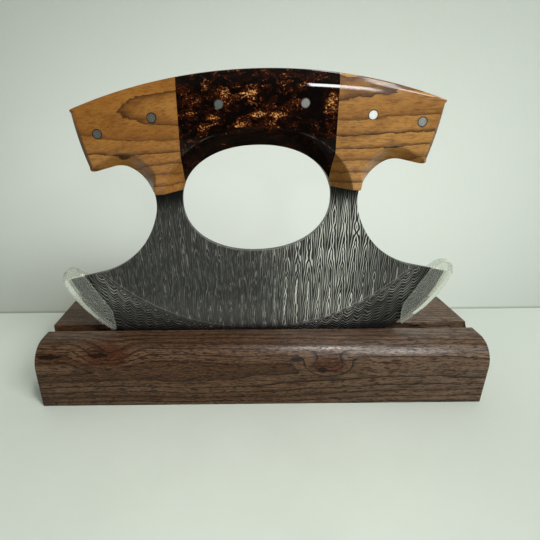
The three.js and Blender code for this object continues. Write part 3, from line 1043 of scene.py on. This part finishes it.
def grip_relief(points, notch, end_side, eased):
    """How far forward of the mid plane the finished face lies: the least of the crowned face,
    the bevel under the arch, the bevel at the end, the chamfer round the hole and the chamfer
    along the notch, which widens upwards, less a small quarter round along the eased outline."""
    drop = arch_height(points[:, 0], 0) - points[:, 1]
    width = np.maximum(arch_height(points[:, 0], 0) - arch_height(points[:, 0], 1), least_bevel)
    rolled = np.clip(1 - (drop - width) / crown_width, 0, 1)
    face = grip_half - crown * rolled ** 2
    bevel = grip_half - bevel_depth + (bevel_depth - crown) * drop / width
    top = soft_least(face, bevel, crease_round)
    chamfer = hole_land + (grip_half - hole_land) * hole_growth(points) / hole_chamfer
    top = soft_least(top, chamfer, chamfer_round)
    if notch is not None:
        climb = smooth((points[:, 1] - foot_inner) / notch_chamfer_climb)
        wide = notch_chamfer_low + (notch_chamfer_high - notch_chamfer_low) * climb
        horn = smooth((points[:, 0] - horn_start) / (heel[0] - horn_start))
        wide = wide * (1 - horn) + horn_chamfer * horn
        deep = notch_chamfer_depth * (1 - horn) + horn_chamfer * horn
        cut = deep * (1 - distance_to(points, notch) / wide)
        top = soft_least(top, grip_half - cut, 4 * crease_round)
        wide = end_bevel + (end_depth - end_bevel) * np.clip(drop / end_rise, 0, 1)
        slant = grip_half - end_depth + end_depth * distance_to(points, end_side) / wide
        top = soft_least(top, slant, crease_round)
    return top - rounded_off(distance_to(points, eased))


def patch(low, high, first, last, along_shares, up_shares):
    """A grid between four lines: the two ruled surfaces between opposite lines, added, less the
    flat one through the four corners."""
    s, t = along_shares[:, None, None], up_shares[None, :, None]
    bottom, top = along(low, along_shares)[:, None], along(high, along_shares)[:, None]
    left, right = along(first, up_shares)[None], along(last, up_shares)[None]
    corners = ((1 - s) * (1 - t) * low[0] + s * (1 - t) * low[-1]
               + (1 - s) * t * high[0] + s * t * high[-1])
    return (1 - t) * bottom + t * top + (1 - s) * left + s * right - corners


def raised(grid, height):
    """A closed body over a grid of places: the finished face, walls down to the glue line and
    the flat back."""
    columns, rows = height.shape
    index = np.arange(columns * rows).reshape(columns, rows)
    faces = np.stack([index[:-1, :-1], index[1:, :-1], index[1:, 1:], index[:-1, 1:]],
                     axis=-1).reshape(-1, 4).tolist()
    ring = np.concatenate([index[:, 0], index[-1, 1:], index[-2::-1, -1], index[0, -2:0:-1]])
    flat = grid.reshape(-1, 2)
    count = len(flat)
    low = count + np.arange(len(ring))
    turned = np.roll(np.arange(len(ring)), -1)
    faces += np.stack([low, low[turned], ring[turned], ring], axis=1).tolist()
    faces.append(low[::-1].tolist())
    points = np.concatenate([brought_forward(flat, height.reshape(-1)),
                             brought_forward(flat[ring], scale_base)])
    return points, faces


def side_scale():
    """The right wooden scale: from the seam over the hole's side and the foot, up the notch and
    along the horn, with the arch above."""
    seam = seam_out + seam_gap / 2
    steep = np.linspace(0, 0.5, 4000)
    hole = hole_outline(steep)
    foot_height = foot_inner - foot_slope * np.maximum(hole[:, 0] - hole_half_length + 1, 0)
    side = hole[(hole[:, 0] >= seam) & (hole[:, 1] >= foot_height)][::-1]
    notch = notch_upper(160)[::-1]
    foot_line = foot_inner - foot_slope * (notch[:, 0] - hole_half_length + 1)
    notch = notch[notch[:, 1] >= foot_line]
    end = grip_end(0, 60)[::-1]
    under = np.linspace(notch[-1], end[0], 12)[1:]
    low = np.concatenate([side, notch, under])
    high = arch_line(seam, end[-1, 0], 90)
    first = np.array([low[0], high[0]])
    run = measured(low)
    marks = run[[len(side) - 1, len(side)]]
    shares = np.unique(np.concatenate([close_shares(run[-1], marks), marks / run[-1]]))
    grid = patch(low, high, first, end, shares, close_shares(measured(end)[-1]))
    flat = grid.reshape(-1, 2)
    foot = np.array([side[-1], notch[0]])
    round_line = np.concatenate([notch, under])
    height = grip_relief(flat, round_line, end[8:-8], np.concatenate([end, high[::-1]]))
    height -= rounded_off(distance_to(flat, foot))
    height = np.maximum(height, scale_base + foot_thin)
    return raised(grid, height.reshape(grid.shape[:2]))


def middle_scale():
    """The resin scale: between the seams, over the hole and under the arch."""
    seam = seam_out - seam_gap / 2
    sweep = np.linspace(0, math.pi, 8000)
    low = hole_outline(sweep)
    low = low[np.abs(low[:, 0]) <= seam][::-1]
    high = arch_line(-seam, seam, 120)
    low[0, 0], low[-1, 0] = -seam, seam
    first, last = np.array([low[0], high[0]]), np.array([low[-1], high[-1]])
    grid = patch(low, high, first, last, close_shares(measured(low)[-1]),
                 close_shares(measured(first)[-1]))
    height = grip_relief(grid.reshape(-1, 2), None, None, high)
    return raised(grid, height.reshape(grid.shape[:2]))


honey_deep = (0.190, 0.064, 0.010, 1)
honey_line = (0.055, 0.020, 0.006, 1)


def honey_wood_material(name, pith, turn, ring_width, crowding, light, mid):
    """Polished honey coloured wood: thin brown lines where each year's growth ends, a mottled
    figure between them, and short fine pores, under a hard clear finish. Surfaces that face
    left carry painted shade."""
    tree, shader, material = new_material(name)
    place = knife_position(tree)
    grain = grain_nodes(own_axes(place, pith, turn), ring_width=ring_width,
                        crowding=crowding, wander=7, ripple=2.2, jag=1.2)
    fibre = grain["Fibre"]
    side, front, _ = split(node(tree, "NewGeometry").outputs["Normal"])
    end_grain = ease(abs(side), 0.3, 0.8, 0, 0.6) * ease(abs(split(place)[0]), 62, 70)
    colour = layered(blend(ease(grain["Tone"], 0.3, 0.7), mid, light),
                     [(ease(grain["Cloud"], 0.42, 0.7, 0, 0.6), honey_deep),
                      (grain["Late"] * 0.7, honey_deep),
                      (grain["Line"], honey_line),
                      (ease(grain["Streak"], 0.52, 0.72, 0, 0.45), honey_line),
                      (ease(fibre, 0.45, 0.72, 0, 0.2), honey_line),
                      (grain["Pore"] * 0.28, honey_line),
                      (end_grain, honey_line),
                      (ease(grain["Speck"], 0.48, 0.75, 0, 0.5), honey_deep),
                      # Painted shade: surfaces that face left are darker.
                      (ease(side, -0.15, -0.6, 0, 0.4), honey_deep)])
    feed(shader, {"Base Color": colour, "Roughness": ease(fibre, 0.3, 0.7, 0.34, 0.46),
                  "Specular IOR Level": 0.2,
                  "Coat Weight": ease(abs(front), 0.75, 0.95, 0.12, 0.7),
                  "Coat Roughness": 0.1, "Normal": bump(fibre, 0.1, 0.0001)})
    return material


resin_black = (0.0022, 0.0012, 0.0009, 1)
resin_brown = (0.040, 0.0075, 0.0022, 1)
resin_copper = (0.40, 0.095, 0.015, 1)
resin_gold = (1.0, 0.56, 0.20, 1)
resin_patches = [((-2.6, 0, 136.7), (7.5, 60, 5.5)), ((0, 0, 128.7), (7, 60, 2.2)),
                 ((8, 0, 128.4), (6, 60, 2.2)), ((-18.7, 0, 127.9), (5, 60, 2)),
                 ((-8, 0, 125), (6.5, 60, 2)), ((30.5, 0, 132.8), (5.5, 60, 7.5)),
                 ((-13, 0, 137.4), (3.5, 60, 4)), ((-21.6, 0, 140.2), (4, 60, 3.5))]
resin_void = ((24, 0, 135.2), (6.5, 60, 6.5))
resin_rim = ((0, 0, 90.9), (55, 60, 40))


def resin_material():
    """Black casting resin with copper powder drawn out in swirls, coarse gold flakes where it
    gathered, and a clear polished skin."""
    tree, shader, material = new_material("copper_resin")
    place = knife_position(tree)
    flat = stretched(place, (0.10, 0.10, 0.17))
    push = node(tree, "TexNoise", {"Vector": flat, "Scale": 1.4, "Detail": 3,
                                   "Roughness": 0.5}).outputs["Color"]
    swirled = vector_math("ADD", {0: flat, 1: vector_math("SCALE", {0: push, "Scale": 2.2})})
    bare = calc("MAXIMUM", near_spot(place, *resin_void), near_spot(place, *resin_rim))
    gather = spots(place, resin_patches) * 0.16 + bare * -0.22
    cloud = noise(swirled, 1.5, 6, 0.62, 0.5) + gather
    vein = noise(swirled, 4.5, 5, 0.65, 0.7) + gather
    flake = noise(place, 1.5, 2, 0.75)
    brown = ease(cloud, 0.45, 0.62) * ease(flake, 0.35, 0.65, 0.4, 1)
    copper = ease(vein, 0.52, 0.66) * ease(cloud, 0.485, 0.64) * ease(flake, 0.40, 0.62)
    glint = ease(vein + (flake - 0.5) * 0.9, 0.62, 0.78) * ease(cloud, 0.52, 0.68)
    colour = layered(blend(brown, resin_black, resin_brown),
                     [(copper, resin_copper), (glint, resin_gold)])
    feed(shader, {"Base Color": colour, "Metallic": glint * 0.4, "Roughness": 0.4,
                  "Specular IOR Level": 0, "Coat Weight": 1, "Coat Roughness": 0.04})
    return material


left_wood = honey_wood_material(
    "honey_wood_left", pith=(-45.5, -6.7, 131), turn=(0, math.radians(84.5), math.radians(-11.3)),
    ring_width=7.6, crowding=1.26, light=(0.430, 0.195, 0.044, 1), mid=(0.330, 0.135, 0.024, 1))
right_wood = honey_wood_material(
    "honey_wood_right", pith=(50, -5, 136), turn=(0, math.radians(91.2), math.radians(4)),
    ring_width=7.2, crowding=1.18, light=(0.530, 0.265, 0.068, 1), mid=(0.420, 0.190, 0.040, 1))
resin = resin_material()
side_surface, middle_surface = side_scale(), middle_scale()
for face_name, forward in (("front", 1), ("rear", -1)):
    for place_name, outward, (points, faces), slot_name, material, pins in (
            ("left", -1, side_surface, "oak", left_wood, (0, 1)),
            ("centre", 1, middle_surface, "resin", resin, (2, 3)),
            ("right", 1, side_surface, "oak", right_wood, (4, 5))):
        scale = new_solid(f"{place_name}_{face_name}_{slot_name}",
                          in_knife(*(points * (outward, 1, forward)).T), faces, material,
                          crease=32)
        drill(scale, pins, crease=32)
        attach(scale, "knife")
        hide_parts(f"{place_name}_{face_name}_scale")

# Pins
# Six lengths of bright steel rod, 4 mm thick, epoxied through scale, tang and scale and sanded
# flush with the wood, which leaves fine round scratches on their ends.
pin_edge = 0.12
pin_bright = np.array([0.90, 0.90, 0.87, 1])
pin_dull = np.array([0.17, 0.17, 0.16, 1])
pin_glue = (0.012, 0.010, 0.008, 1)
# How much each pin is painted brighter, a painted highlight, strongest on the right inner pin:
pin_painted_highlights = [0.2, 0.2, 0.12, 0.2, 1.0, 0.45]


def pin_material(name, highlight_share, middle):
    """Sanded steel: fine rings of scratches about the pin's own axis. The pin's share of painted
    highlight lifts its colour towards bright steel and lowers its metallic weight.
    """
    tree, shader, material = new_material(name)
    centred = own_axes(knife_position(tree), middle)
    reach = length_of(vector_math("MULTIPLY", {0: centred, 1: (1, 0, 1)}))
    ringed = node(tree, "CombineXYZ", {0: reach * 5}).outputs[0]
    scratches = noise(ringed, 1.5, 3, 0.7)
    patches = ease(noise(centred, 0.9, 3, 0.6), 0.3, 0.7, 0.45, 1)
    share = ease(scratches, 0.3, 0.7) * patches + 0.6 * highlight_share ** 2
    colour = blend(share, pin_dull, pin_dull + highlight_share * (pin_bright - pin_dull))
    rim = ease(reach, pin_radius - 0.45, pin_radius - 0.1)
    feed(shader, {"Base Color": blend(rim, colour, pin_glue), "Metallic": 0.9 - 0.45 * highlight_share,
                  "Roughness": ease(scratches, 0.3, 0.7, 0.4, 0.25),
                  "Normal": bump(scratches, 0.2, 0.00005)})
    return material


for which, pin_name in enumerate(pin_names):
    pin = new_solid(f"{pin_name}_rod", *pin_bar(which, pin_radius, grip_half, pin_edge),
                    pin_material(f"{pin_name}_steel", pin_painted_highlights[which],
                                 (float(pin_outs[which]), 0, float(pin_ups[which]))),
                    crease=30)
    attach(pin, "knife")
    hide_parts(f"{pin_name}_pin")

# Tip guards
# Clear plastic channels, each folded over one tip: a nose over the point and two thin leaves
# that follow the edge down into the slot. They are moulded, and a little milky from handling.
guard_hollow = 3.6
guard_half = 2.6
guard_clearance = 0.3
guard_tip_reach = 3.3
guard_foot_reach = 1.8
guard_nose_rise = 5.7
guard_nose_setback = 1
guard_top_run = 8.6
guard_knee = tip - (20, 18.2)
guard_foot = tip - (20.6, 28.6)
guard_round = 0.5
plastic_tint = (0.86, 0.88, 0.82, 1)
plastic_haze = (0.79, 0.80, 0.755, 1)


def edge_points(angle, offset):
    """Points of the cutting edge's ellipse, moved outwards by an offset."""
    out, up = np.cos(angle), np.sin(angle)
    normal = unit(np.column_stack([out / edge_half_width, up / edge_half_height]))
    base = np.column_stack([edge_half_width * out, edge_half_height * (1 + up)])
    return base + normal * np.asarray(offset)[..., None]


def shoulder_height(out):
    """The blade's straight shoulder line, drawn on past its ends."""
    return tip_height + (out - tip_out) * math.tan(shoulder_angle + math.pi / 2)


def guard_outline():
    """The channel's outline: a nose of two curves over the tip, the outer side along the edge,
    and a straight inner side with a knee."""
    foot_angle = math.asin(guard_foot[1] / edge_half_height - 1)
    share = np.linspace(0, 1, 48)
    outer = edge_points(tip_angle * (1 - share) + foot_angle * share,
                        guard_tip_reach * (1 - share) + guard_foot_reach * share)
    start = np.array([tip_out - guard_top_run, shoulder_height(tip_out - guard_top_run)])
    nose = np.array([tip_out - guard_nose_setback, tip_height + guard_nose_rise])
    step = np.linspace(0, 1, 17)
    over = bend_curve(start, np.array([(start[0] + nose[0]) / 2, nose[1]]), nose, step)
    down = bend_curve(nose, np.array([outer[0, 0], nose[1]]), outer[0], step)
    inner = np.concatenate([np.linspace(outer[-1], guard_foot, 5)[1:],
                            np.linspace(guard_foot, guard_knee, 12)[1:],
                            np.linspace(guard_knee, start, 30)[1:-1]])
    return np.concatenate([over, down[1:], outer[1:], inner])[::-1]


def guard_bodies():
    """The channel's outside, its outline drawn in over a quarter round of half a millimetre to
    the flat faces of its leaves, and the space inside it that the blade fills."""
    outline = guard_outline()
    bend = np.linspace(0, math.pi / 2, 7)
    loops = []
    for side in (-1, 1):
        for angle in bend[::-side]:
            loop = inset(outline, guard_round * (1 - math.cos(angle)))
            forward = guard_half - guard_round * (1 - math.sin(angle))
            loops.append(brought_forward(loop, side * forward))
    share = np.linspace(0, 1, 60)
    edge = edge_points(tip_angle * (1 - share) - math.pi / 2 * share, guard_clearance)
    top = shoulder_height(edge[0, 0]) + guard_clearance
    inner = np.concatenate([[(0, shoulder_height(0) + guard_clearance), (edge[0, 0], top)],
                            edge])[::-1]
    hollow = [brought_forward(inner, side * guard_hollow / 2) for side in (-1, 1)]
    return lofted(loops), lofted(hollow)


def clear_plastic_material():
    """Clear plastic, a little milky, with long faint scuffs."""
    tree, shader, material = new_material("clear_plastic")
    long = node(tree, "Mapping", {"Vector": knife_position(tree),
                                  "Rotation": (0, math.radians(40), 0),
                                  "Scale": (0.1, 0.1, 1.1)}).outputs[0]
    scuff = noise(long, 1.2, 3, 0.55)
    colour = blend(ease(scuff, 0.4, 0.75), plastic_tint, plastic_haze)
    feed(shader, {"Base Color": colour, "Transmission Weight": 0.92,
                  "Roughness": ease(scuff, 0.4, 0.75, 0.03, 0.08), "IOR": 1.13,
                  "Coat Weight": 0.3, "Coat Roughness": 0.08})
    return material


plastic = clear_plastic_material()
guard_shell, guard_space = guard_bodies()
for side_name, outward in (("left", -1), ("right", 1)):
    guard, space = (new_solid(name, in_knife(*(points * (outward, 1, 1)).T), faces, plastic,
                              crease=40)
                    for name, (points, faces) in ((f"{side_name}_guard_channel", guard_shell),
                                                  ("guard_space", guard_space)))
    cut_away(guard, [space], crease=40)
    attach(guard, f"{side_name}_guard")
    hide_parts(f"{side_name}_tip_guard")
